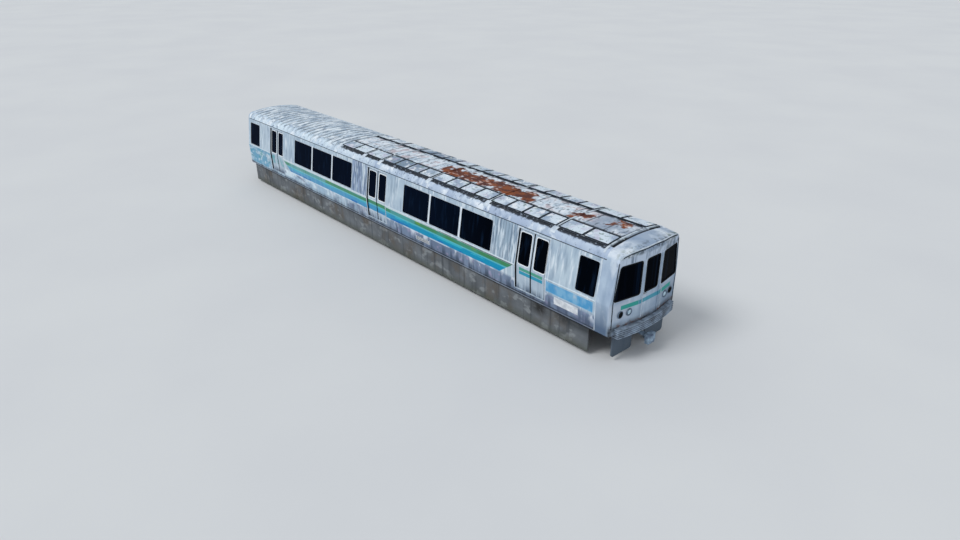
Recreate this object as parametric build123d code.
from build123d import *
import math
import os

# Metro car, millimetres. +X runs forward to the cab end, +Y to the left, +Z up.
# The origin is the middle of the car's plan, at the height of the wheel flanges' lowest points.

# Wheelsets
TREAD_R = 355.6
FLANGE_DEPTH = 28.0
FLANGE_THICK = 32.0
FLANGE_TIP = 6.0
WHEEL_INNER_Y = 680.0
WHEEL_WIDTH = 135.0
WHEEL_WEB = 30.0
WEB_DISH = 8.0
RIM_DEPTH = 55.0
TREAD_FALL = 4.0
TREAD_CHAMFER = 6.0
HUB_R = 120.0
HUB_IN = 12.0
HUB_OUT = 18.0
AXLE_R = 85.0
JOURNAL_R = 65.0
JOURNAL_CLEAR = 0.06
JOURNAL_PLAY = 0.5
AXLE_Z = TREAD_R + FLANGE_DEPTH

# Bogies
TRUCK_X = 8230.0
WHEELBASE = 2100.0
FRAME_GAP = 135.0
FRAME_WIDE = 100.0
FRAME_RISE = 266.4
FRAME_DEEP = 120.0
FRAME_DROP = 90.0
FRAME_DIP_HALF = 480.0
FRAME_DIP_SLOPE = 140.0
FRAME_OVERHANG = 330.0
FRAME_TIP = 70.0
SPRING_SEAT_OUT = 180.0
SPRING_SEAT_IN = 220.0
BELLY_DEEP = 180.0
BOX_HALF = 130.0
BOX_TOP = 86.0
BOX_LAP = 20.0
BOX_COVER_R = 100.0
BOX_COVER_TALL = 35.0
JOURNAL_LONG = 15.0
PRIMARY_R = 80.0
CROSS_X = 250.0
CROSS_HALF = 70.0
CROSS_DEEP = 130.0
BOLSTER_X = 230.0
BOLSTER_DEEP = 70.0
BOLSTER_OVER = 70.0
BLOCK_X = 310.0
BLOCK_Y = 300.0
AIR_SPRING_R = 210.0
AIR_SPRING_NECK = 40.0
AIR_SPRING_TALL = 120.0
AIR_SPRING_IN = 110.0
PIVOT_R = 110.0
PIVOT_TALL = 60.0
PIVOT_CLEAR = 0.3
PIVOT_SEAT = 75.0
PIVOT_PLATE = 120.0
BEARER_GAP = 5.0
MOTOR_X = 545.0
MOTOR_Y = 330.0
MOTOR_LONG = 500.0
MOTOR_R = 190.0
MOTOR_UP = 25.0
MOTOR_LUG_HALF = 150.0
MOTOR_LUG_LAP = 70.0
MOTOR_LUG_DEEP = 80.0
SHAFT_R = 60.0
GEAR_Y = 300.0
GEAR_HALF = 110.0
GEAR_R = 240.0
GEAR_CASE = (150.0, 170.0)
GEAR_CLEAR = 6.0
SHOE_BEAM_HALF = 300.0
SHOE_BEAM_OUT = 60.0
SHOE_BEAM_Z = (46.0, 136.0)
SHOE_ARM_HALF = 50.0
SHOE_ARM_Z = (71.0, 111.0)
SHOE_HALF = 140.0
SHOE_WIDE = 80.0
SHOE_LAP = 20.0
SHOE_SKIRT_GAP = 90.0
SHOE_TALL = 30.0

# Body heights, each a rise over the one before
SILL_Z = 935.0
FLOOR_RISE = 165.0
BELT_RISE = 760.0
CANT_RISE = 1248.0
CEILING_RISE = 107.0
DECK_RISE = 254.0
CROWN_RISE = 93.0
FLOOR_THICK = 40.0
FLOOR_Z = SILL_Z + FLOOR_RISE
BELT_Z = FLOOR_Z + BELT_RISE
CANT_Z = BELT_Z + CANT_RISE
CEILING_Z = CANT_Z + CEILING_RISE
DECK_Z = CANT_Z + DECK_RISE
CROWN_Z = DECK_Z + CROWN_RISE

# Body widths: the side leans in above the belt and tucks under below it
BODY_HALF = 1555.0
WALL_T = 147.0
CANT_WALL = 115.0
TUMBLEHOME = 0.146
TUCK = 0.042
BELT_PROUD = 8.0
BELT_TALL = 34.0
SILL_TRIM_TALL = 40.0
TRIM_CHAMFER = 6.0
INNER_HALF = BODY_HALF - WALL_T
CANT_HALF = BODY_HALF - BELT_PROUD - TUMBLEHOME * (CANT_Z - BELT_Z)
CANT_INNER = CANT_HALF - CANT_WALL

# Side wall layers, measured inwards from the skin, so that a leaf slides between skin and lining
SKIN_T = 38.0
LEAF_CLEAR = 6.0
LEAF_T = 38.0
GLASS_SET = 12.0
GLASS_T = 12.0
LEAF_GLASS_SET = 8.0

# Roof: a crowned deck between two coves
COVE_WIDE = 264.8
COVE_SAG = 68.0
DECK_HALF = CANT_HALF - COVE_WIDE
CEILING_FLAT = 240.0
CEILING_BEND = (70.0, 25.0)
GUTTER = (30.0, 118.0)
GUTTER_DEEP = 20.0
HOOP_XS = (-2900.0, -1100.0, 0.0, 2950.0, 5950.0, 8800.0, 10680.0)
HOOP_TALL = 22.0
HOOP_WIDE = 60.0
RIM_GROOVE = (80.0, 14.0)
RIM_GROOVE_DEEP = 24.0
DRIP_PROUD = 12.0
DRIP_TALL = 22.0
PANEL_OUT = 20.0
PANEL_WIDE = 500.0
PANEL_TALL = 30.0
PANEL_GAP = 60.0
PANEL_LONG = 680.0

# Ends
REAR_X = -11130.0
REAR_T = 90.0
MASK_X = 10706.0
RIM_LONG = 114.0
NOSE_LONG = 680.0
RIM_X = MASK_X + RIM_LONG
NOSE_X = MASK_X + NOSE_LONG
NOSE_FLAT = 380.0
NOSE_FALL = 0.167
MASK_T = 80.0
MASK_CORNER_R = 95.0
CAP_SLOPE = 0.13
CAP_SKIRT = 600.0

# Side doors: three pairs of leaves a side
DOOR_PITCH = 8183.0
DOOR_XS = (-DOOR_PITCH, 0.0, DOOR_PITCH)
DOOR_HALF = 622.0
DOOR_HEAD_DROP = 78.0
DOOR_HEAD_Z = CANT_Z - DOOR_HEAD_DROP
DOOR_TRAVEL = 610.0
LEAF_LAP = 30.0
LEAF_MEET = 3.0
LEAF_TOP_LAP = 36.0
POCKET_SPARE = 20.0
TRACK_DEPTH = 15.0
TRACK_CLEAR = 0.3
LEAF_WINDOW = (107.0, 548.0)
LEAF_WINDOW_SET = (88.0, 196.0)
LEAF_WINDOW_Z = (BELT_Z + LEAF_WINDOW_SET[0], CANT_Z - LEAF_WINDOW_SET[1])

# Side windows: three a bay, counted from the middle door outwards, one at the rear and one for the cab;
# each window's set is its height over the belt and its drop below the cant rail
WINDOW_SET = (64.0, 185.0)
WINDOW_Z = (BELT_Z + WINDOW_SET[0], CANT_Z - WINDOW_SET[1])
WINDOW_R = 60.0
WINDOW_START = 1741.0
WINDOW_WIDTHS = (1459.0, 1540.0, 1494.0)
MULLION = 100.0
REAR_WINDOW_START = 251.0
REAR_WINDOW_WIDE = 949.0
CAB_WINDOW_SET = (86.0, 148.0)
CAB_WINDOW_Z = (BELT_Z + CAB_WINDOW_SET[0], CANT_Z - CAB_WINDOW_SET[1])
CAB_WINDOW_END = 66.0
CAB_WINDOW_WIDE = 691.0

# End doors and end windows
END_DOOR_HALF = 365.0
END_DOOR_T = 45.0
END_DOOR_SET = 10.0
END_DOOR_GAP = 5.0
END_DOOR_DROP = 58.0
END_DOOR_TOP = CANT_Z - END_DOOR_DROP
END_DOOR_WINDOW_HALF = 290.0
END_WINDOW_SET = (130.0, 134.0)
END_WINDOW_Z = (BELT_Z + END_WINDOW_SET[0], CANT_Z - END_WINDOW_SET[1])
FRONT_PILLAR = 130.0
FRONT_POST = 120.0
REAR_PILLAR = 195.0
REAR_POST = 234.0
HINGE_R = 18.0
HINGE_PIN_R = 10.0
HINGE_CLEAR = 0.06
HINGE_OFF = 2.0
HINGE_BARREL = 20.0
HINGE_PIN_HALF = 60.0
HINGE_PLAY = 1.0
HINGE_STRAP = 60.0
HINGE_SIDE = 15.0
HINGE_UPS = (200.0, 975.0, 1750.0)

# Lamps: distance from the centre line, height above the floor, radius
HEAD_LAMPS = ((820.0, 430.0, 85.0), (1140.0, 430.0, 85.0))
TAIL_LAMPS = ((1180.0, 230.0, 45.0),)
LAMP_PROUD = 18.0
LAMP_SEAT = 60.0
LAMP_CUP = 20.0
LAMP_RING = 14.0

# Underframe
CENTRE_SILL_HALF = 200.0
CENTRE_SILL_DEEP = 150.0
SIDE_SILL_WIDE = 80.0
BEARER_COUNT = 14
BEARER_END = 700.0
BEARER_HALF = 40.0
BEARER_DEEP = 90.0
END_SILL_IN = 208.0
END_SILL_LONG = (200.0, 250.0)
END_SILL_DROP = 85.0
END_SILL_Z = SILL_Z - END_SILL_DROP
NOSE_SILL_SET = 230.0
BODY_BOLSTER_HALF = 260.0
BODY_BOLSTER_DROP = 60.0
BODY_BOLSTER_Z = SILL_Z - BODY_BOLSTER_DROP
JACK_X = 6300.0
JACK_IN = 40.0
JACK_PAD = (100.0, 35.0)
JACK_TALL = 20.0

# Anticlimbers and couplers
BUMPER_IN = 255.0
REAR_BUMPER_IN = 355.0
BUMPER_TALL = 280.0
BUMPER_Z = (END_SILL_Z, END_SILL_Z + BUMPER_TALL)
BUMPER_OUT = 124.0
BUMPER_BOW = 145.0
REAR_BUMPER_OUT = 120.0
RIB_TALL = 32.0
RIB_COUNT = 5
RIB_DEEP = 28.0
COUPLER_X = 11650.0
COUPLER_DROP = 415.0
COUPLER_Z = SILL_Z - COUPLER_DROP
COUPLER_HEAD = (165.0, 170.0, 110.0)
COUPLER_FACE = (25.0, 150.0, 20.0, 95.0)
COUPLER_BOX = (130.0, 150.0, 80.0)
COUPLER_BOX_BACK = 15.0
SHANK_R = 60.0
DRAFT_GEAR = (260.0, 220.0, 90.0)
DRAFT_GEAR_FRONT = 386.0
DRAFT_GEAR_REAR = 130.0

# Skirting boards under the sills, and under the front end sill either side of the coupler
SKIRT_REAR = 280.0
SKIRT_FRONT = 226.0
SKIRT_Z = 120.0
SKIRT_T = 45.0
SKIRT_IN = 100.0
SKIRT_HANGER = (30.0, 60.0)
SKIRT_HANGER_Z = 500.0
NOSE_BOARD_IN = 310.0
NOSE_BOARD_SET = 10.0
NOSE_BOARD_R = 90.0
BOGIE_SWEEP_X = 1700.0

# Gear hung under the floor. Cases: side, x from, x to, lowest z; each reaches from CASE_IN to CASE_OUT.
# Tanks, on the left: x from, x to, distance in from the wall's inner face
CASES = (
    (-1, -2600.0, -300.0, 420.0),
    (-1, 600.0, 2200.0, 480.0),
    (-1, 3500.0, 4900.0, 480.0),
    (1, -2600.0, -200.0, 420.0),
    (1, 700.0, 2900.0, 450.0),
)
CASE_IN = 380.0
CASE_OUT = 128.0
CASE_CHAMFER = 60.0
RESISTORS = ((-5750.0, -4650.0), (-4550.0, -3450.0))
RESISTOR_IN = 450.0
RESISTOR_Z = 480.0
RESISTOR_WALL = 40.0
RESISTOR_TOP = 60.0
RESISTOR_GRIDS = 9
GRID_HALF = 8.0
GRID_END = 60.0
TANKS = ((-5900.0, -3800.0, 708.0), (-5900.0, -3800.0, 328.0), (3500.0, 5600.0, 608.0))
TANK_R = 160.0
TANK_Z = 720.0
TANK_STRAP = 15.0
TANK_STRAP_HALF = 30.0

# Saloon and cab fittings
SEAT_START = 1900.0
SEAT_PITCH = 800.0
SEAT_COUNT = 6
REAR_SEAT_X = -9800.0
SEAT_WIDE = 900.0
SEAT_OFF = 30.0
SEAT_FOOT = 120.0
SEAT_LIP = 60.0
SEAT_TALL = 440.0
SEAT_SHELL = 80.0
SEAT_DEEP = 360.0
BACK_TALL = 490.0
BACK_LEAN = 70.0
BACK_THICK = 50.0
POLE_R = 17.0
POLE_OFF = 98.0
POLE_Y = 480.0
PARTITION_X = 9700.0
PARTITION_T = 40.0
PARTITION_DOOR_HALF = 330.0
PARTITION_HEADER = 215.0
DESK_GAP = 74.0
DESK_OUT = 78.0
DESK_IN = 440.0
DESK_FOOT = 700.0
DESK_TALL = 980.0
DESK_DEEP = 300.0
DESK_EDGE = 120.0
DESK_BACK = 246.0
STOOL_X = 550.0
STOOL_Y = 850.0
STOOL_R = 60.0
STOOL_TALL = 420.0
STOOL_HALF = 220.0
CUSHION_T = 90.0
STOOL_BACK_TALL = 550.0
STOOL_BACK_LEAN = 90.0

# How far a cutting block runs past the face that it cuts
CUT_OVER = 50.0


def block(x0, x1, y0, y1, z0, z1):
    """Box given by its two corners."""
    centre = Pos((x0 + x1) / 2, (y0 + y1) / 2, (z0 + z1) / 2)
    return centre * Box(x1 - x0, y1 - y0, z1 - z0)


def prism_x(points, x0, x1):
    """Polygon of (y, z) points, run along X."""
    face = Plane.YZ.offset(x0) * make_face(Polyline(*points, close=True))
    return extrude(face, x1 - x0)


def prism_y(points, y0, y1):
    """Polygon of (x, z) points, run along Y."""
    face = Plane.XZ.offset(-y1) * make_face(Polyline(*points, close=True))
    return extrude(face, y1 - y0)


def prism_z(points, z0, z1):
    """Polygon of (x, y) points, run along Z."""
    face = Plane.XY.offset(z0) * make_face(Polyline(*points, close=True))
    return extrude(face, z1 - z0)


def rod_x(x0, x1, y, z, radius):
    return Pos((x0 + x1) / 2, y, z) * Rot(0, 90, 0) * Cylinder(radius, abs(x1 - x0))


def rod_y(y0, y1, x, z, radius):
    return Pos(x, (y0 + y1) / 2, z) * Rot(90, 0, 0) * Cylinder(radius, abs(y1 - y0))


def rod_z(z0, z1, x, y, radius):
    return Pos(x, y, (z0 + z1) / 2) * Cylinder(radius, z1 - z0)


def rounded_y(x_range, z_range, radius, y0, y1):
    """Rounded rectangle in XZ, run along Y."""
    plane = Plane.XZ.offset(-y1)
    centre = Pos(sum(x_range) / 2, sum(z_range) / 2)
    shape = plane * centre * RectangleRounded(x_range[1] - x_range[0], z_range[1] - z_range[0], radius)
    return extrude(shape, y1 - y0)


def rounded_x(y_range, z_range, radius, x0, x1):
    """Rounded rectangle in YZ, run along X."""
    plane = Plane.YZ.offset(x0)
    centre = Pos(sum(y_range) / 2, sum(z_range) / 2)
    shape = plane * centre * RectangleRounded(y_range[1] - y_range[0], z_range[1] - z_range[0], radius)
    return extrude(shape, x1 - x0)


def to_left(shape):
    """The same piece on the car's other side."""
    return mirror(shape, about=Plane.XZ)


def on_side(side, near, far):
    """A y range between two distances from the centre line, on one side."""
    return tuple(sorted((side * near, side * far)))


def skin_half(z):
    """Half width of the body's skin at a height."""
    if z > BELT_Z:
        return BODY_HALF - BELT_PROUD - TUMBLEHOME * (z - BELT_Z)
    return BODY_HALF - BELT_PROUD - TUCK * (BELT_Z - z)


def skin_slab(outer, inner, z0, z1, x0, x1):
    """Layer of the right side between two depths under the skin, bent at the belt."""
    levels = [z0] + ([BELT_Z] if z0 < BELT_Z < z1 else []) + [z1]
    out = [(-(skin_half(z) - outer), z) for z in levels]
    back = [(-(skin_half(z) - inner), z) for z in reversed(levels)]
    return prism_x(out + back, x0, x1)


def roof_face(grow, foot_z):
    """Roof outline in YZ: crown arc and two cove arcs, standing on legs down to foot_z."""
    cant = (CANT_HALF + grow, CANT_Z)
    deck = (DECK_HALF, DECK_Z + grow)
    run, rise = cant[0] - deck[0], deck[1] - cant[1]
    span = math.hypot(run, rise)
    mid = ((cant[0] + deck[0]) / 2 + COVE_SAG * rise / span, (cant[1] + deck[1]) / 2 + COVE_SAG * run / span)
    edges = [
        ThreePointArc((-cant[0], cant[1]), (-mid[0], mid[1]), (-deck[0], deck[1])),
        ThreePointArc((-deck[0], deck[1]), (0, CROWN_Z + grow), deck),
        ThreePointArc(deck, mid, cant),
        Line((cant[0], foot_z), (-cant[0], foot_z)),
    ]
    if foot_z < CANT_Z:
        edges.append(Line((-cant[0], foot_z), (-cant[0], cant[1])))
        edges.append(Line(cant, (cant[0], foot_z)))
    return make_face(edges)


def roof_run(grow, foot_z, x0, x1):
    return extrude(Plane.YZ.offset(x0) * roof_face(grow, foot_z), x1 - x0)


def roof_layer(low, high, x0, x1):
    """Layer that follows the roof's outline between two heights over it."""
    return roof_run(high, CANT_Z, x0, x1) - roof_run(low, CANT_Z - TRIM_CHAMFER, x0, x1)


def body_run(x0, x1):
    """Whole body section from sill to crown, filled."""
    side = [(skin_half(z), z) for z in (SILL_Z, BELT_Z, CANT_Z)]
    lower = prism_x(side + [(-y, z) for y, z in reversed(side)], x0, x1)
    return lower + roof_run(0, CANT_Z - 1, x0, x1)


def saloon_section(z0):
    """Inner outline of the saloon from z0 up to the ceiling, right half then left."""
    half = [
        (INNER_HALF, z0),
        (INNER_HALF, BELT_Z),
        (CANT_INNER, CANT_Z),
        (CANT_INNER - CEILING_BEND[0], CEILING_Z - CEILING_BEND[1]),
        (CANT_INNER - CEILING_FLAT, CEILING_Z),
    ]
    return half + [(-y, z) for y, z in reversed(half)]


# Rail wheelsets

FRAME_IN_Y = WHEEL_INNER_Y + WHEEL_WIDTH + FRAME_GAP
FRAME_OUT_Y = FRAME_IN_Y + FRAME_WIDE
BOX_OUT_Y = FRAME_OUT_Y + BOX_LAP
JOURNAL_END_Y = BOX_OUT_Y + JOURNAL_LONG


def wheel_profile():
    """Half section of a wheel: radius against distance from the back face."""
    rim_in = TREAD_R - RIM_DEPTH
    flange_r = TREAD_R + FLANGE_DEPTH
    web0 = (WHEEL_WIDTH - WHEEL_WEB) / 2
    web1 = web0 + WHEEL_WEB
    return [
        (AXLE_R, -HUB_IN),
        (HUB_R, -HUB_IN),
        (HUB_R + WEB_DISH, web0),
        (rim_in, web0 - WEB_DISH),
        (rim_in, 0),
        (flange_r - FLANGE_TIP, 0),
        (flange_r, FLANGE_THICK / 3),
        (flange_r - FLANGE_TIP, FLANGE_THICK * 2 / 3),
        (TREAD_R, FLANGE_THICK),
        (TREAD_R - TREAD_FALL, WHEEL_WIDTH - TREAD_CHAMFER),
        (TREAD_R - TREAD_FALL - TREAD_CHAMFER, WHEEL_WIDTH),
        (rim_in, WHEEL_WIDTH),
        (rim_in, web1),
        (HUB_R, web1 + WEB_DISH),
        (HUB_R, WHEEL_WIDTH + HUB_OUT),
        (AXLE_R, WHEEL_WIDTH + HUB_OUT),
    ]


def wheelset(x):
    """Axle with two flanged wheels and its journals, turning about Y."""
    section = make_face(Polyline(*[(r, WHEEL_INNER_Y + w) for r, w in wheel_profile()], close=True))
    wheel = Pos(x, 0, AXLE_Z) * revolve(section, Axis.Y)
    seat_y = WHEEL_INNER_Y + WHEEL_WIDTH + HUB_OUT
    axle = rod_y(-seat_y, seat_y, x, AXLE_Z, AXLE_R)
    journals = rod_y(-JOURNAL_END_Y, JOURNAL_END_Y, x, AXLE_Z, JOURNAL_R)
    return axle + journals + wheel + to_left(wheel)


# Bogies

FRAME_TOP = AXLE_Z + FRAME_RISE
SPRING_TOP = FRAME_TOP - FRAME_DEEP
CROSS_TOP = FRAME_TOP - FRAME_DROP
BOLSTER_SEAT = BODY_BOLSTER_Z - BEARER_GAP - AIR_SPRING_NECK - AIR_SPRING_TALL
AIR_SPRING_Y = FRAME_OUT_Y - AIR_SPRING_IN
BOLSTER_Y = FRAME_OUT_Y + BOLSTER_OVER
SKIRT_BACK_Y = BODY_HALF - SKIRT_IN - SKIRT_T


def axle_box(x, side):
    """Journal box about one axle end with its end cover."""
    y0 = FRAME_IN_Y - BOX_LAP
    box = block(x - BOX_HALF, x + BOX_HALF, y0, BOX_OUT_Y, AXLE_Z - BOX_HALF, AXLE_Z + BOX_TOP)
    box = fillet(box.edges().filter_by(Axis.Y).sort_by(Axis.Z)[:2], BOX_HALF / 2)
    bore = rod_y(y0 - CUT_OVER, JOURNAL_END_Y + JOURNAL_PLAY, x, AXLE_Z, JOURNAL_R + JOURNAL_CLEAR)
    cover = rod_y(BOX_OUT_Y, BOX_OUT_Y + BOX_COVER_TALL, x, AXLE_Z, BOX_COVER_R)
    piece = box + cover - bore
    return piece if side > 0 else to_left(piece)


def side_frame_outline(cx):
    """Side frame seen from the side: dropped in the middle, with seats for the axle springs."""
    reach = WHEELBASE / 2 + FRAME_OVERHANG
    dip_end = FRAME_DIP_HALF + FRAME_DIP_SLOPE
    half = [
        (FRAME_DIP_HALF, CROSS_TOP),
        (dip_end, FRAME_TOP),
        (reach, FRAME_TOP),
        (reach, FRAME_TOP - FRAME_TIP),
        (WHEELBASE / 2 + SPRING_SEAT_OUT, SPRING_TOP),
        (WHEELBASE / 2 - SPRING_SEAT_IN, SPRING_TOP),
        (FRAME_DIP_HALF, CROSS_TOP - BELLY_DEEP),
    ]
    return [(cx + x, z) for x, z in half] + [(cx - x, z) for x, z in reversed(half)]


def bogie_frame(cx):
    """Side frames with a dropped middle, two cross members, bolster and pivot."""
    side = prism_y(side_frame_outline(cx), FRAME_IN_Y, FRAME_OUT_Y)
    frame = side + to_left(side)
    cross_z = (CROSS_TOP - CROSS_DEEP, CROSS_TOP)
    for x in (cx - CROSS_X, cx + CROSS_X):
        frame += block(x - CROSS_HALF, x + CROSS_HALF, -FRAME_IN_Y, FRAME_IN_Y, *cross_z)
    plate_z = BODY_BOLSTER_Z - PIVOT_SEAT
    beam_z = BOLSTER_SEAT - BOLSTER_DEEP
    bolster = block(cx - BOLSTER_X, cx + BOLSTER_X, -BOLSTER_Y, BOLSTER_Y, beam_z, BOLSTER_SEAT)
    bolster += block(cx - BLOCK_X, cx + BLOCK_X, -BLOCK_Y, BLOCK_Y, CROSS_TOP, plate_z)
    pivot = rod_z(plate_z, BODY_BOLSTER_Z + PIVOT_TALL - PIVOT_CLEAR, cx, 0, PIVOT_R)
    plate = rod_z(plate_z, BODY_BOLSTER_Z - PIVOT_CLEAR, cx, 0, PIVOT_R + PIVOT_PLATE)
    return frame + bolster + pivot + plate


def bogie_springs(cx):
    """Air springs on the bolster, axle boxes and the rubber springs over them."""
    parts = []
    neck_z = BOLSTER_SEAT + AIR_SPRING_TALL
    for side in (-1, 1):
        y = side * AIR_SPRING_Y
        bellows = rod_z(BOLSTER_SEAT, neck_z, cx, y, AIR_SPRING_R)
        bellows += rod_z(neck_z, BODY_BOLSTER_Z - BEARER_GAP, cx, y, AIR_SPRING_R - AIR_SPRING_NECK)
        parts.append(bellows)
        for x in (cx - WHEELBASE / 2, cx + WHEELBASE / 2):
            parts.append(axle_box(x, side))
            spring_y = side * (FRAME_IN_Y + FRAME_OUT_Y) / 2
            parts.append(rod_z(AXLE_Z + BOX_TOP, SPRING_TOP, x, spring_y, PRIMARY_R))
    return parts


def bogie_drives(cx):
    """A traction motor and gear case beside each axle, hung from the cross members."""
    parts = []
    motor_z = AXLE_Z + MOTOR_UP
    lug_z = CROSS_TOP - MOTOR_LUG_DEEP - SHOE_TALL
    for end in (-1, 1):
        ax = cx + end * WHEELBASE / 2
        mx = cx + end * MOTOR_X
        my, gy = -end * MOTOR_Y, end * GEAR_Y
        motor = rod_y(my - MOTOR_LONG / 2, my + MOTOR_LONG / 2, mx, motor_z, MOTOR_R)
        lug0, lug1 = sorted((cx + end * (CROSS_X + CROSS_HALF), mx - end * (MOTOR_R - MOTOR_LUG_LAP)))
        motor += block(lug0, lug1, my - MOTOR_LUG_HALF, my + MOTOR_LUG_HALF, lug_z, lug_z + MOTOR_LUG_DEEP)
        motor += rod_y(my, gy - end * GEAR_HALF, mx, motor_z, SHAFT_R)
        y0, y1 = gy - GEAR_HALF, gy + GEAR_HALF
        gear = rod_y(y0, y1, ax, AXLE_Z, GEAR_R)
        gear += block(min(mx, ax), max(mx, ax), y0, y1, AXLE_Z - GEAR_CASE[0], AXLE_Z + GEAR_CASE[1])
        gear -= rod_y(y0 - CUT_OVER, y1 + CUT_OVER, ax, AXLE_Z, AXLE_R + GEAR_CLEAR)
        parts += [motor, gear]
    return parts


def bogie_shoes(cx):
    """Insulated beam on each side frame with a contact shoe for the conductor rail."""
    parts = []
    beam_out = FRAME_OUT_Y + SHOE_BEAM_OUT
    shoe_out = SKIRT_BACK_Y - SHOE_SKIRT_GAP
    for side in (-1, 1):
        y0, y1 = on_side(side, FRAME_OUT_Y, beam_out)
        z0, z1 = (AXLE_Z + z for z in SHOE_BEAM_Z)
        beam = block(cx - SHOE_BEAM_HALF, cx + SHOE_BEAM_HALF, y0, y1, z0, z1)
        y0, y1 = on_side(side, beam_out, shoe_out - SHOE_LAP)
        z0, z1 = (AXLE_Z + z for z in SHOE_ARM_Z)
        arm = block(cx - SHOE_ARM_HALF, cx + SHOE_ARM_HALF, y0, y1, z0, z1)
        y0, y1 = on_side(side, shoe_out - SHOE_WIDE, shoe_out)
        shoe = block(cx - SHOE_HALF, cx + SHOE_HALF, y0, y1, z0 - SHOE_TALL, z0)
        parts.append(beam + arm + shoe)
    return parts


# Body shell

SHELL_X = REAR_X + REAR_T
CUT_OUT_Y = -BODY_HALF - CUT_OVER
CUT_IN_Y = -CANT_INNER + 2 * CUT_OVER
POCKET_IN = SKIN_T + LEAF_T + 2 * LEAF_CLEAR
POCKET_REACH = DOOR_HALF + LEAF_LAP + DOOR_TRAVEL + POCKET_SPARE


def window_cut(x_range, z_range):
    return rounded_y(x_range, z_range, WINDOW_R, CUT_OUT_Y, CUT_IN_Y)


def side_windows():
    """Each right side opening: x range and z range."""
    rear_x = REAR_X + REAR_WINDOW_START
    cab_x = MASK_X - CAB_WINDOW_END
    rows = [
        ((rear_x, rear_x + REAR_WINDOW_WIDE), WINDOW_Z),
        ((cab_x - CAB_WINDOW_WIDE, cab_x), CAB_WINDOW_Z),
    ]
    x0 = WINDOW_START
    for width in WINDOW_WIDTHS:
        rows.append(((x0, x0 + width), WINDOW_Z))
        rows.append(((-x0 - width, -x0), WINDOW_Z))
        x0 += width + MULLION
    return rows


def trim_strip(z, tall):
    """Bevelled strip along the right side, proud of the skin at a height."""
    root = -skin_half(z) + TRIM_CHAMFER
    face = -skin_half(z) - BELT_PROUD
    points = [
        (root, z - tall / 2),
        (face, z - tall / 2 + TRIM_CHAMFER),
        (face, z + tall / 2 - TRIM_CHAMFER),
        (root, z + tall / 2),
    ]
    return prism_x(points, SHELL_X, MASK_X)


def side_wall():
    """Right side: skin, lining and the pockets that the door leaves slide into."""
    outer = [(-skin_half(z), z) for z in (SILL_Z, BELT_Z, CANT_Z)]
    inner = [(-CANT_INNER, CANT_Z), (-INNER_HALF, BELT_Z), (-INNER_HALF, SILL_Z)]
    wall = prism_x(outer + inner, SHELL_X, MASK_X)
    wall += trim_strip(BELT_Z, BELT_TALL)
    wall += trim_strip(SILL_Z + SILL_TRIM_TALL / 2, SILL_TRIM_TALL)
    for x_range, z_range in side_windows():
        wall -= window_cut(x_range, z_range)
    pocket_z = (FLOOR_Z - TRACK_DEPTH, DOOR_HEAD_Z + LEAF_TOP_LAP + LEAF_CLEAR)
    for cx in DOOR_XS:
        wall -= block(cx - DOOR_HALF, cx + DOOR_HALF, CUT_OUT_Y, CUT_IN_Y, FLOOR_Z, DOOR_HEAD_Z)
        wall -= skin_slab(SKIN_T, POCKET_IN, *pocket_z, cx - POCKET_REACH, cx + POCKET_REACH)
    return wall


def side_glass():
    """Panes that fill the right side's window openings."""
    z0, z1 = WINDOW_Z[0] - WINDOW_R, CAB_WINDOW_Z[1] + WINDOW_R
    pane = skin_slab(GLASS_SET, GLASS_SET + GLASS_T, z0, z1, REAR_X, NOSE_X)
    return [window_cut(x_range, z_range) & pane for x_range, z_range in side_windows()]


def door_leaf(cx, way):
    """One sliding leaf with its pane; way is +1 for the leaf that opens forward."""
    x0, x1 = sorted((cx + way * LEAF_MEET, cx + way * (DOOR_HALF + LEAF_LAP)))
    outer = SKIN_T + LEAF_CLEAR
    foot_z = FLOOR_Z - TRACK_DEPTH + TRACK_CLEAR
    leaf = skin_slab(outer, outer + LEAF_T, foot_z, DOOR_HEAD_Z + LEAF_TOP_LAP, x0, x1)
    cut = window_cut(sorted(cx + way * x for x in LEAF_WINDOW), LEAF_WINDOW_Z)
    pane_set = outer + LEAF_GLASS_SET
    z0, z1 = LEAF_WINDOW_Z[0] - WINDOW_R, LEAF_WINDOW_Z[1] + WINDOW_R
    pane = cut & skin_slab(pane_set, pane_set + GLASS_T, z0, z1, x0, x1)
    return [leaf - cut, pane]


def roof():
    """Crowned deck with its cross hoops and the groove behind the cap's rim."""
    deck = roof_run(0, CANT_Z, SHELL_X, RIM_X)
    for x in HOOP_XS:
        deck += roof_run(HOOP_TALL, CANT_Z, x - HOOP_WIDE / 2, x + HOOP_WIDE / 2)
    deck -= roof_layer(-RIM_GROOVE_DEEP, HOOP_TALL, RIM_X - RIM_GROOVE[0], RIM_X - RIM_GROOVE[1])
    return deck & block(SHELL_X, RIM_X, -DECK_HALF, DECK_HALF, CEILING_Z, CROWN_Z + PANEL_TALL)


def roof_coves():
    """Curved side of the roof with its gutter and drip rail, right then left."""
    shell = roof_run(0, CANT_Z, SHELL_X, RIM_X)
    shell -= prism_x(saloon_section(CANT_Z - CUT_OVER), SHELL_X, RIM_X)
    gutter = roof_layer(-GUTTER_DEEP, HOOP_TALL, SHELL_X, RIM_X)
    cove = shell & block(SHELL_X, RIM_X, -BODY_HALF, -DECK_HALF, CANT_Z, CROWN_Z)
    y1 = -DECK_HALF - GUTTER[0]
    cove -= gutter & block(SHELL_X, RIM_X, -DECK_HALF - GUTTER[1], y1, CANT_Z, CROWN_Z)
    drip_y = (-CANT_HALF - DRIP_PROUD, -CANT_HALF + DRIP_TALL)
    cove += block(SHELL_X, RIM_X, *drip_y, CANT_Z, CANT_Z + DRIP_TALL)
    return [cove, to_left(cove)]


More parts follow.
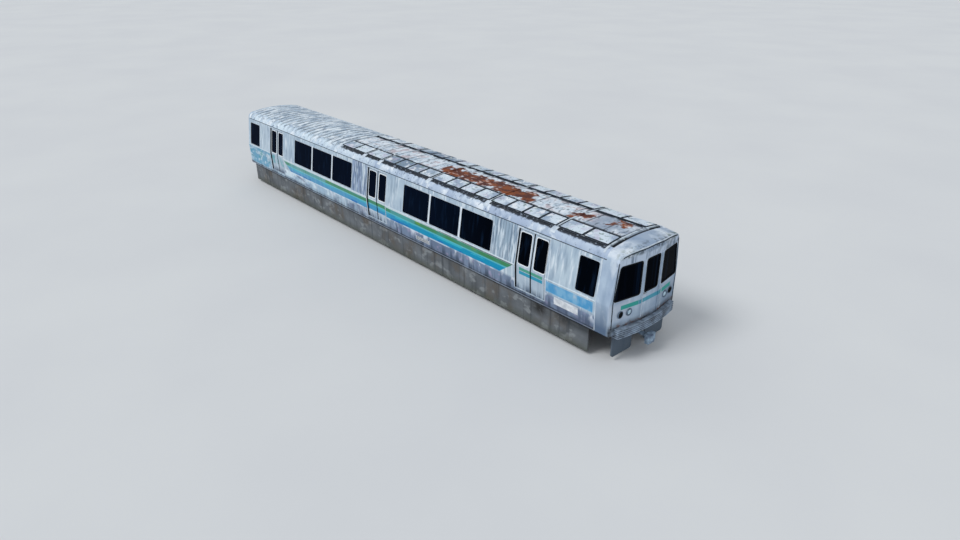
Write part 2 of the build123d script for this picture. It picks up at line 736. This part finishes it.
def roof_panels():
    """Rows of flat lids on the deck between the hoops, either side of the middle strip."""
    layer = roof_layer(0, PANEL_TALL, HOOP_XS[0], HOOP_XS[-1])
    outer = DECK_HALF - PANEL_OUT
    parts = []
    for a, b in zip(HOOP_XS, HOOP_XS[1:]):
        start = a + (HOOP_WIDE + PANEL_GAP) / 2
        end = b - (HOOP_WIDE + PANEL_GAP) / 2
        count = max(1, round((end - start) / (PANEL_LONG + PANEL_GAP)))
        pitch = (end - start + PANEL_GAP) / count
        for i in range(count):
            x0 = start + i * pitch
            for side in (-1, 1):
                y0, y1 = on_side(side, outer - PANEL_WIDE, outer)
                lid = block(x0, x0 + pitch - PANEL_GAP, y0, y1, CANT_Z, CROWN_Z + HOOP_TALL + PANEL_TALL)
                parts.append(layer & lid)
    return parts


# Ends

FRONT_HINGE_X = NOSE_X - MASK_T - HINGE_R - HINGE_OFF
REAR_HINGE_X = REAR_X + REAR_T + HINGE_R + HINGE_OFF
HINGE_SIDE_Y = END_DOOR_HALF + HINGE_SIDE
HINGE_ZS = [FLOOR_Z + up for up in HINGE_UPS]
REAR_WINDOW_Y = (END_DOOR_HALF + REAR_PILLAR, skin_half(END_WINDOW_Z[1]) - REAR_POST)
NOSE_REACH = NOSE_FALL * BODY_HALF + MASK_T + 2 * CUT_OVER


def nose_x(y):
    """The mask's outer face at a distance from the centre line."""
    return NOSE_X - NOSE_FALL * max(0.0, abs(y) - NOSE_FLAT)


def nose_plan(inset, x0, half):
    """Plan outline of the mask, inset by a wall's thickness."""
    front = NOSE_X - inset
    corner = nose_x(half) - inset
    return [
        (x0, -half),
        (corner, -half),
        (front, -NOSE_FLAT),
        (front, NOSE_FLAT),
        (corner, half),
        (x0, half),
    ]


def front_window(side, x0, x1):
    """Front window opening: upright by the door pillar, leaning with the body's side at its corner post."""
    corners = [(side * (END_DOOR_HALF + FRONT_PILLAR), z) for z in END_WINDOW_Z]
    corners += [(side * (skin_half(z) - FRONT_POST), z) for z in reversed(END_WINDOW_Z)]
    opening = prism_x(corners, x0, x1)
    return fillet(opening.edges().filter_by(Axis.X), WINDOW_R)


def front_end():
    """Cab mask: faceted nose with a crowned cap, windows, doorway and lamp bores."""
    outer = prism_z(nose_plan(0, MASK_X, BODY_HALF), SILL_Z, CROWN_Z + PANEL_TALL)
    corners = [e for e in outer.edges().filter_by(Axis.Z) if abs(e.center().Y) > skin_half(CANT_Z)]
    outer = fillet([e for e in corners if e.center().X > MASK_X + MASK_CORNER_R], MASK_CORNER_R)
    mask = outer & body_run(MASK_X, NOSE_X)
    cap_long = (NOSE_X - RIM_X + MASK_T) * math.hypot(1, CAP_SLOPE)
    cap = extrude(
        Plane.YZ.offset(RIM_X) * roof_face(0, CANT_Z - CAP_SKIRT),
        cap_long,
        dir=Vector(1, 0, -CAP_SLOPE),
    )
    back_x, past_x, over_z = MASK_X - CUT_OVER, NOSE_X + CUT_OVER, CROWN_Z + 2 * CUT_OVER
    above = block(RIM_X, past_x, -BODY_HALF, BODY_HALF, CANT_Z, over_z)
    mask -= above - cap
    mask -= block(back_x, RIM_X, -BODY_HALF, BODY_HALF, CANT_Z, over_z)
    hollow = prism_z(nose_plan(MASK_T, back_x, INNER_HALF), SILL_Z - CUT_OVER, CROWN_Z)
    hollow &= prism_x(saloon_section(SILL_Z - CUT_OVER), back_x, NOSE_X)
    mask -= hollow
    for side in (-1, 1):
        mask -= front_window(side, NOSE_X - NOSE_REACH, past_x)
    door = END_DOOR_HALF + END_DOOR_GAP
    mask -= block(NOSE_X - MASK_T * 2, past_x, -door, door, FLOOR_Z, END_DOOR_TOP + END_DOOR_GAP)
    for y, up, radius in HEAD_LAMPS:
        for side in (-1, 1):
            mask -= rod_x(nose_x(y) - LAMP_SEAT, past_x, side * y, FLOOR_Z + up, radius)
    return mask


def lamp(face_x, outward, y, z, radius):
    """Round lamp seated in its bore, hollow in front, with outward +1 or -1 along X."""
    body = rod_x(face_x - outward * LAMP_SEAT, face_x + outward * LAMP_PROUD, y, z, radius)
    return body - rod_x(face_x - outward * LAMP_CUP, face_x + outward * LAMP_SEAT, y, z, radius - LAMP_RING)


def end_lamps():
    """Two head lamps each side in front, one tail lamp each side at the rear."""
    parts = []
    for side in (-1, 1):
        for y, up, radius in HEAD_LAMPS:
            parts.append(lamp(nose_x(y), 1, side * y, FLOOR_Z + up, radius))
        for y, up, radius in TAIL_LAMPS:
            parts.append(lamp(REAR_X, -1, side * y, FLOOR_Z + up, radius))
    return parts


def rear_end():
    """Flat end wall over the whole section, with its doorway, two windows and lamp bores."""
    wall = body_run(REAR_X, SHELL_X)
    door = END_DOOR_HALF + END_DOOR_GAP
    x0, x1 = REAR_X - CUT_OVER, SHELL_X + CUT_OVER
    wall -= block(x0, x1, -door, door, FLOOR_Z, END_DOOR_TOP + END_DOOR_GAP)
    for side in (-1, 1):
        wall -= rounded_x(on_side(side, *REAR_WINDOW_Y), END_WINDOW_Z, WINDOW_R, x0, x1)
        for y, up, radius in TAIL_LAMPS:
            wall -= rod_x(x0, REAR_X + LAMP_SEAT, side * y, FLOOR_Z + up, radius)
    return wall


def end_glass():
    """Fixed panes of the two ends."""
    front_layer = prism_z(nose_plan(GLASS_SET, MASK_X, BODY_HALF), SILL_Z, CANT_Z)
    behind = nose_plan(GLASS_SET + GLASS_T, MASK_X - CUT_OVER, BODY_HALF)
    front_layer -= prism_z(behind, SILL_Z - CUT_OVER, CANT_Z + CUT_OVER)
    front_layer &= block(NOSE_X - NOSE_REACH, NOSE_X, -BODY_HALF, BODY_HALF, SILL_Z, CANT_Z)
    rear_x = REAR_X + GLASS_SET
    parts = []
    for side in (-1, 1):
        parts.append(front_window(side, NOSE_X - NOSE_REACH, NOSE_X) & front_layer)
        opening_y = on_side(side, *REAR_WINDOW_Y)
        parts.append(rounded_x(opening_y, END_WINDOW_Z, WINDOW_R, rear_x, rear_x + GLASS_T))
    return parts


def end_door(face_x, inward, hinge_x):
    """Hinged end door with its pane and the barrels that turn on the frame's pins."""
    outside = face_x + inward * END_DOOR_SET
    inside = outside + inward * END_DOOR_T
    x0, x1 = sorted((outside, inside))
    door = block(x0, x1, -END_DOOR_HALF, END_DOOR_HALF, FLOOR_Z + END_DOOR_GAP, END_DOOR_TOP)
    window_y = (-END_DOOR_WINDOW_HALF, END_DOOR_WINDOW_HALF)
    door -= rounded_x(window_y, END_WINDOW_Z, WINDOW_R, x0 - CUT_OVER, x1 + CUT_OVER)
    a, b = sorted((inside, hinge_x + inward * HINGE_R))
    for z in HINGE_ZS:
        z0, z1 = z - HINGE_BARREL, z + HINGE_BARREL
        door += block(a, b, END_DOOR_HALF - HINGE_STRAP, END_DOOR_HALF, z0, z1)
        door += rod_z(z0, z1, hinge_x, HINGE_SIDE_Y, HINGE_R)
        door -= rod_z(z0 - CUT_OVER, z1 + CUT_OVER, hinge_x, HINGE_SIDE_Y, HINGE_PIN_R + HINGE_CLEAR)
    pane_x = outside + inward * GLASS_SET
    p0, p1 = sorted((pane_x, pane_x + inward * GLASS_T))
    return [door, rounded_x(window_y, END_WINDOW_Z, WINDOW_R, p0, p1)]


def hinge_pins(wall_x, hinge_x):
    """Pins and brackets that carry an end door, standing on the wall's inner face."""
    a, b = sorted((wall_x, hinge_x))
    inner = HINGE_BARREL + HINGE_PLAY
    pieces = []
    for z in HINGE_ZS:
        piece = rod_z(z - HINGE_PIN_HALF, z + HINGE_PIN_HALF, hinge_x, HINGE_SIDE_Y, HINGE_PIN_R)
        for z0, z1 in ((z - HINGE_PIN_HALF, z - inner), (z + inner, z + HINGE_PIN_HALF)):
            piece += rod_z(z0, z1, hinge_x, HINGE_SIDE_Y, HINGE_R)
            piece += block(a, b, HINGE_SIDE_Y, HINGE_SIDE_Y + HINGE_R, z0, z1)
        pieces.append(piece)
    return pieces[0] + pieces[1] + pieces[2]


# Under the floor

FLOOR_UNDER = FLOOR_Z - FLOOR_THICK
BEARER_Z = FLOOR_UNDER - BEARER_DEEP
BEARER_FROM = SHELL_X + BEARER_END
BEARER_TO = MASK_X - BEARER_END
BEARER_XS = [BEARER_FROM + i * (BEARER_TO - BEARER_FROM) / (BEARER_COUNT - 1) for i in range(BEARER_COUNT)]
END_SILL_Y = INNER_HALF - END_SILL_IN
NOSE_SILL_X = NOSE_X - NOSE_SILL_SET


def underframe():
    """Side sills, centre sill, cross bearers, body bolsters, end sills and jacking pads."""
    half = CENTRE_SILL_HALF
    frame = block(SHELL_X, NOSE_SILL_X, -half, half, FLOOR_UNDER - CENTRE_SILL_DEEP, FLOOR_UNDER)
    for side in (-1, 1):
        y0, y1 = on_side(side, INNER_HALF - SIDE_SILL_WIDE, INNER_HALF)
        frame += block(SHELL_X, MASK_X, y0, y1, SILL_Z, FLOOR_UNDER)
    for x in BEARER_XS:
        frame += block(x - BEARER_HALF, x + BEARER_HALF, -INNER_HALF, INNER_HALF, BEARER_Z, FLOOR_UNDER)
    for x0, x1 in ((SHELL_X, SHELL_X + END_SILL_LONG[0]), (NOSE_SILL_X - END_SILL_LONG[1], NOSE_SILL_X)):
        frame += block(x0, x1, -END_SILL_Y, END_SILL_Y, END_SILL_Z, FLOOR_UNDER)
    for x in (-TRUCK_X, TRUCK_X):
        x0, x1 = x - BODY_BOLSTER_HALF, x + BODY_BOLSTER_HALF
        frame += block(x0, x1, -END_SILL_Y, END_SILL_Y, BODY_BOLSTER_Z, FLOOR_UNDER)
        frame -= rod_z(BODY_BOLSTER_Z - CUT_OVER, BODY_BOLSTER_Z + PIVOT_TALL, x, 0, PIVOT_R + PIVOT_CLEAR)
    half_x, half_y = JACK_PAD
    for x in (-JACK_X, JACK_X):
        for y in (JACK_IN - INNER_HALF, INNER_HALF - JACK_IN):
            frame += block(x - half_x, x + half_x, y - half_y, y + half_y, SILL_Z - JACK_TALL, SILL_Z)
    return frame


def floor():
    """Floor slab between the walls, shaped to the nose in front."""
    slab = block(SHELL_X, MASK_X, -INNER_HALF, INNER_HALF, FLOOR_UNDER, FLOOR_Z)
    return slab + prism_z(nose_plan(MASK_T, MASK_X - CUT_OVER, INNER_HALF), FLOOR_UNDER, FLOOR_Z)


def bumper_plan(inset, back_x):
    """Bowed plan of the anticlimber's front, from end to end."""
    half = BODY_HALF - BUMPER_IN - inset
    tip = NOSE_X + BUMPER_OUT - inset
    end = tip - BUMPER_BOW
    bow = ThreePointArc((end, -half), (tip, 0), (end, half))
    rest = Polyline((end, half), (back_x, half), (back_x, -half), (end, -half))
    return make_face([bow, rest])


def rib_heights():
    """Underside of each rib of an anticlimber."""
    z0, z1 = BUMPER_Z
    pitch = (z1 - z0 - RIB_TALL) / (RIB_COUNT - 1)
    return [z0 + i * pitch for i in range(RIB_COUNT)]


def front_anticlimber():
    """Bowed beam in front of the mask with ribs that lock against another car's."""
    z0, z1 = BUMPER_Z
    core = extrude(Plane.XY.offset(z0) * bumper_plan(RIB_DEEP, NOSE_SILL_X), z1 - z0)
    for z in rib_heights():
        core += extrude(Plane.XY.offset(z) * bumper_plan(0, NOSE_SILL_X), RIB_TALL)
    return core - prism_z(nose_plan(0, MASK_X, BODY_HALF), SILL_Z, CANT_Z)


def rear_anticlimber():
    """Straight ribbed beam across the coupled end."""
    z0, z1 = BUMPER_Z
    half = BODY_HALF - REAR_BUMPER_IN
    face = REAR_X - REAR_BUMPER_OUT
    core = block(face + RIB_DEEP, REAR_X, -half, half, z0, z1)
    core += block(REAR_X, SHELL_X, -half, half, z0, SILL_Z)
    for z in rib_heights():
        core += block(face, REAR_X, -half, half, z, z + RIB_TALL)
    return core


def coupler(way, root_x):
    """Automatic coupler: head, face plate, electric box, shank and draught gear."""
    face = way * COUPLER_X
    z = COUPLER_Z

    def along(near, far, y0, y1, z0, z1):
        p, q = sorted((face - way * near, face - way * far))
        return block(p, q, y0, y1, z0, z1)

    plate_t, plate_out, plate_in, plate_tall = COUPLER_FACE
    head_long, head_wide, head_tall = COUPLER_HEAD
    box_long, box_wide, box_tall = COUPLER_BOX
    head_end = plate_t + head_long
    box_start = plate_t + COUPLER_BOX_BACK
    head = along(plate_t, head_end, -head_wide, head_wide, z - head_tall, z + head_tall)
    head = chamfer(head.edges().filter_by(Axis.Z), plate_t)
    head += along(0, plate_t, -plate_out, plate_in, z - plate_tall, z + plate_tall)
    box_z = (z - head_tall - box_tall, z - head_tall)
    head += along(box_start, box_start + box_long, -box_wide, box_wide, *box_z)
    shank = rod_x(face - way * head_end, root_x, 0, z, SHANK_R)
    gear_long, gear_wide, gear_deep = DRAFT_GEAR
    a, b = sorted((root_x, root_x - way * gear_long))
    return head + shank + block(a, b, -gear_wide, gear_wide, z - gear_deep, END_SILL_Z)


def nose_board():
    """Right half of the board across the front, hung under the end sill beside the coupler."""
    x1 = NOSE_SILL_X - NOSE_BOARD_SET
    board = block(x1 - SKIRT_T, x1, -END_SILL_Y, -NOSE_BOARD_IN, SKIRT_Z, END_SILL_Z)
    return fillet(board.edges().filter_by(Axis.X).sort_by(Axis.Z)[:2], NOSE_BOARD_R)


def skirt():
    """Right hand skirting board, hung on brackets under the side sill."""
    x0, x1 = REAR_X + SKIRT_REAR, MASK_X - SKIRT_FRONT
    face = SKIRT_IN - BODY_HALF
    board = block(x0, x1, face, face + SKIRT_T, SKIRT_Z, SILL_Z)
    half, deep = SKIRT_HANGER
    for x in BEARER_XS:
        if abs(abs(x) - TRUCK_X) > BOGIE_SWEEP_X:
            board += block(x - half, x + half, face + SKIRT_T, face + SKIRT_T + deep, SKIRT_HANGER_Z, SILL_Z)
    return board


def equipment_cases():
    """Steel cases hung from the cross bearers between the bogies."""
    parts = []
    for side, x0, x1, z0 in CASES:
        y0, y1 = on_side(side, CASE_IN, INNER_HALF - CASE_OUT)
        case = block(x0, x1, y0, y1, z0, BEARER_Z)
        low_edges = case.edges().filter_by(Axis.X).sort_by(Axis.Z)[:2]
        parts.append(chamfer(low_edges, CASE_CHAMFER))
    return parts


def resistor_banks():
    """Brake resistor frames with their upright grids, open at the ends."""
    parts = []
    y0, y1 = CASE_OUT - INNER_HALF, -RESISTOR_IN
    wall = RESISTOR_WALL
    for x0, x1 in RESISTORS:
        frame = block(x0, x1, y0, y1, RESISTOR_Z, BEARER_Z)
        hollow_z = (RESISTOR_Z + wall, BEARER_Z - RESISTOR_TOP)
        frame -= block(x0 - CUT_OVER, x1 + CUT_OVER, y0 + wall, y1 - wall, *hollow_z)
        pitch = (x1 - x0 - 2 * GRID_END) / (RESISTOR_GRIDS - 1)
        for i in range(RESISTOR_GRIDS):
            x = x0 + GRID_END + i * pitch
            grid_z = (RESISTOR_Z + wall / 2, BEARER_Z - wall)
            frame += block(x - GRID_HALF, x + GRID_HALF, y0 + wall / 2, y1 - wall / 2, *grid_z)
        parts.append(frame)
    return parts


def air_tanks():
    """Three air reservoirs with their hanger straps under the cross bearers."""
    parts = []
    strap = TANK_R + TANK_STRAP
    for x0, x1, y_in in TANKS:
        y = INNER_HALF - y_in
        tank = rod_x(x0, x1, y, TANK_Z, TANK_R)
        for x in BEARER_XS:
            if x0 < x < x1:
                a, b = x - TANK_STRAP_HALF, x + TANK_STRAP_HALF
                tank += block(a, b, y - strap, y + strap, TANK_Z, BEARER_Z)
        parts.append(tank)
    return parts


# Saloon and cab fittings


def seat(x, way, side):
    """Double seat by the wall, as one L shaped shell on a pedestal."""
    cushion = FLOOR_Z + SEAT_TALL
    under = cushion - SEAT_SHELL
    top = cushion + BACK_TALL
    profile = [
        (x, FLOOR_Z),
        (x, under),
        (x - way * SEAT_LIP, under + SEAT_SHELL / 4),
        (x - way * SEAT_LIP, cushion),
        (x + way * SEAT_DEEP, cushion + SEAT_SHELL / 4),
        (x + way * (SEAT_DEEP + BACK_LEAN), top),
        (x + way * (SEAT_DEEP + BACK_LEAN + BACK_THICK), top - SEAT_SHELL / 16),
        (x + way * (SEAT_DEEP + BACK_THICK), under + SEAT_SHELL / 4),
        (x + way * SEAT_FOOT, under),
        (x + way * SEAT_FOOT, FLOOR_Z),
    ]
    piece = prism_y(profile, SEAT_OFF - INNER_HALF, SEAT_OFF - INNER_HALF + SEAT_WIDE)
    return to_left(piece) if side > 0 else piece


def seats():
    """Rows of double seats in the two window bays and behind the rear doors."""
    parts = []
    for side in (-1, 1):
        for bay in (-1, 1):
            for i in range(SEAT_COUNT):
                parts.append(seat(bay * (SEAT_START + i * SEAT_PITCH), bay, side))
        parts.append(seat(REAR_SEAT_X, -1, side))
    return parts


def grab_poles():
    """Upright poles beside each doorway, from floor to ceiling."""
    parts = []
    for cx in DOOR_XS:
        for dx in (-DOOR_HALF - POLE_OFF, DOOR_HALF + POLE_OFF):
            for y in (-POLE_Y, POLE_Y):
                parts.append(rod_z(FLOOR_Z, CEILING_Z, cx + dx, y, POLE_R))
    return parts


def cab_partition():
    """Wall between saloon and cab with an open doorway in the middle."""
    x0, x1 = PARTITION_X, PARTITION_X + PARTITION_T
    half = PARTITION_DOOR_HALF
    wall = prism_x(saloon_section(FLOOR_Z), x0, x1)
    return wall - block(x0 - CUT_OVER, x1 + CUT_OVER, -half, half, FLOOR_Z, CEILING_Z - PARTITION_HEADER)


def cab_desk():
    """Driver's desk on the right, and a seat on its pedestal behind it."""
    front = nose_x(INNER_HALF) - MASK_T - DESK_GAP
    back = front - DESK_DEEP
    top = FLOOR_Z + DESK_TALL
    outline = [
        (back, FLOOR_Z),
        (back, FLOOR_Z + DESK_FOOT),
        (back - DESK_EDGE, FLOOR_Z + DESK_FOOT + DESK_EDGE / 2),
        (front - DESK_EDGE, top),
        (front, top),
        (front, FLOOR_Z),
    ]
    desk = prism_y(outline, DESK_OUT - INNER_HALF, -DESK_IN)
    x, y = PARTITION_X + STOOL_X, -STOOL_Y
    seat_z = FLOOR_Z + STOOL_TALL
    cushion_z = seat_z + CUSHION_T
    stool = rod_z(FLOOR_Z, seat_z, x, y, STOOL_R)
    stool += block(x - STOOL_HALF, x + STOOL_HALF, y - STOOL_HALF, y + STOOL_HALF, seat_z, cushion_z)
    back_x = x - STOOL_HALF
    rest = [
        (back_x, cushion_z),
        (back_x - STOOL_BACK_LEAN, cushion_z + STOOL_BACK_TALL),
        (back_x - STOOL_BACK_LEAN + STOOL_R, cushion_z + STOOL_BACK_TALL),
        (back_x + STOOL_R, cushion_z),
    ]
    stool += prism_y(rest, y - STOOL_HALF, y + STOOL_HALF)
    return [desk, stool]


def save(name, pieces):
    """Write one node, from a solid or a list of solids that don't touch."""
    shape = Compound(children=list(pieces)) if isinstance(pieces, (list, tuple)) else pieces
    export_step(shape, f"parts/{name}.step")


def main():
    os.makedirs("parts", exist_ok=True)
    wall = side_wall()
    save("side_wall_right", wall)
    save("side_wall_left", to_left(wall))
    panes = side_glass()
    save("body_glass", panes + [to_left(pane) for pane in panes] + end_glass())
    save("roof", roof())
    save("roof_coves", roof_coves())
    save("roof_panels", roof_panels())
    save("front_end", front_end() + hinge_pins(NOSE_X - MASK_T, FRONT_HINGE_X))
    save("rear_end", rear_end() + hinge_pins(SHELL_X, REAR_HINGE_X))
    save("end_door_front", end_door(NOSE_X, -1, FRONT_HINGE_X))
    save("end_door_rear", end_door(REAR_X, 1, REAR_HINGE_X))
    save("end_lamps", end_lamps())
    for name, cx in zip(("rear", "middle", "front"), DOOR_XS):
        for way_name, way in (("fore", 1), ("aft", -1)):
            leaf = door_leaf(cx, way)
            save(f"door_right_{name}_{way_name}", leaf)
            save(f"door_left_{name}_{way_name}", [to_left(piece) for piece in leaf])
    save("underframe", underframe())
    save("floor", floor())
    save("anticlimbers", [front_anticlimber(), rear_anticlimber()])
    save("couplers", [coupler(1, NOSE_X - DRAFT_GEAR_FRONT), coupler(-1, REAR_X + DRAFT_GEAR_REAR)])
    boards = [skirt(), nose_board()]
    save("skirt_right", boards)
    save("skirt_left", [to_left(board) for board in boards])
    save("equipment_cases", equipment_cases())
    save("resistor_banks", resistor_banks())
    save("air_tanks", air_tanks())
    save("seats", seats())
    save("grab_poles", grab_poles())
    save("cab_partition", cab_partition())
    save("cab_desk", cab_desk())
    for name, cx in (("front", TRUCK_X), ("rear", -TRUCK_X)):
        save(f"bogie_frame_{name}", bogie_frame(cx))
        save(f"bogie_springs_{name}", bogie_springs(cx))
        save(f"bogie_drives_{name}", bogie_drives(cx))
        save(f"bogie_shoes_{name}", bogie_shoes(cx))
        for end_name, end in (("fore", 1), ("aft", -1)):
            save(f"wheelset_{name}_{end_name}", wheelset(cx + end * WHEELBASE / 2))


main()
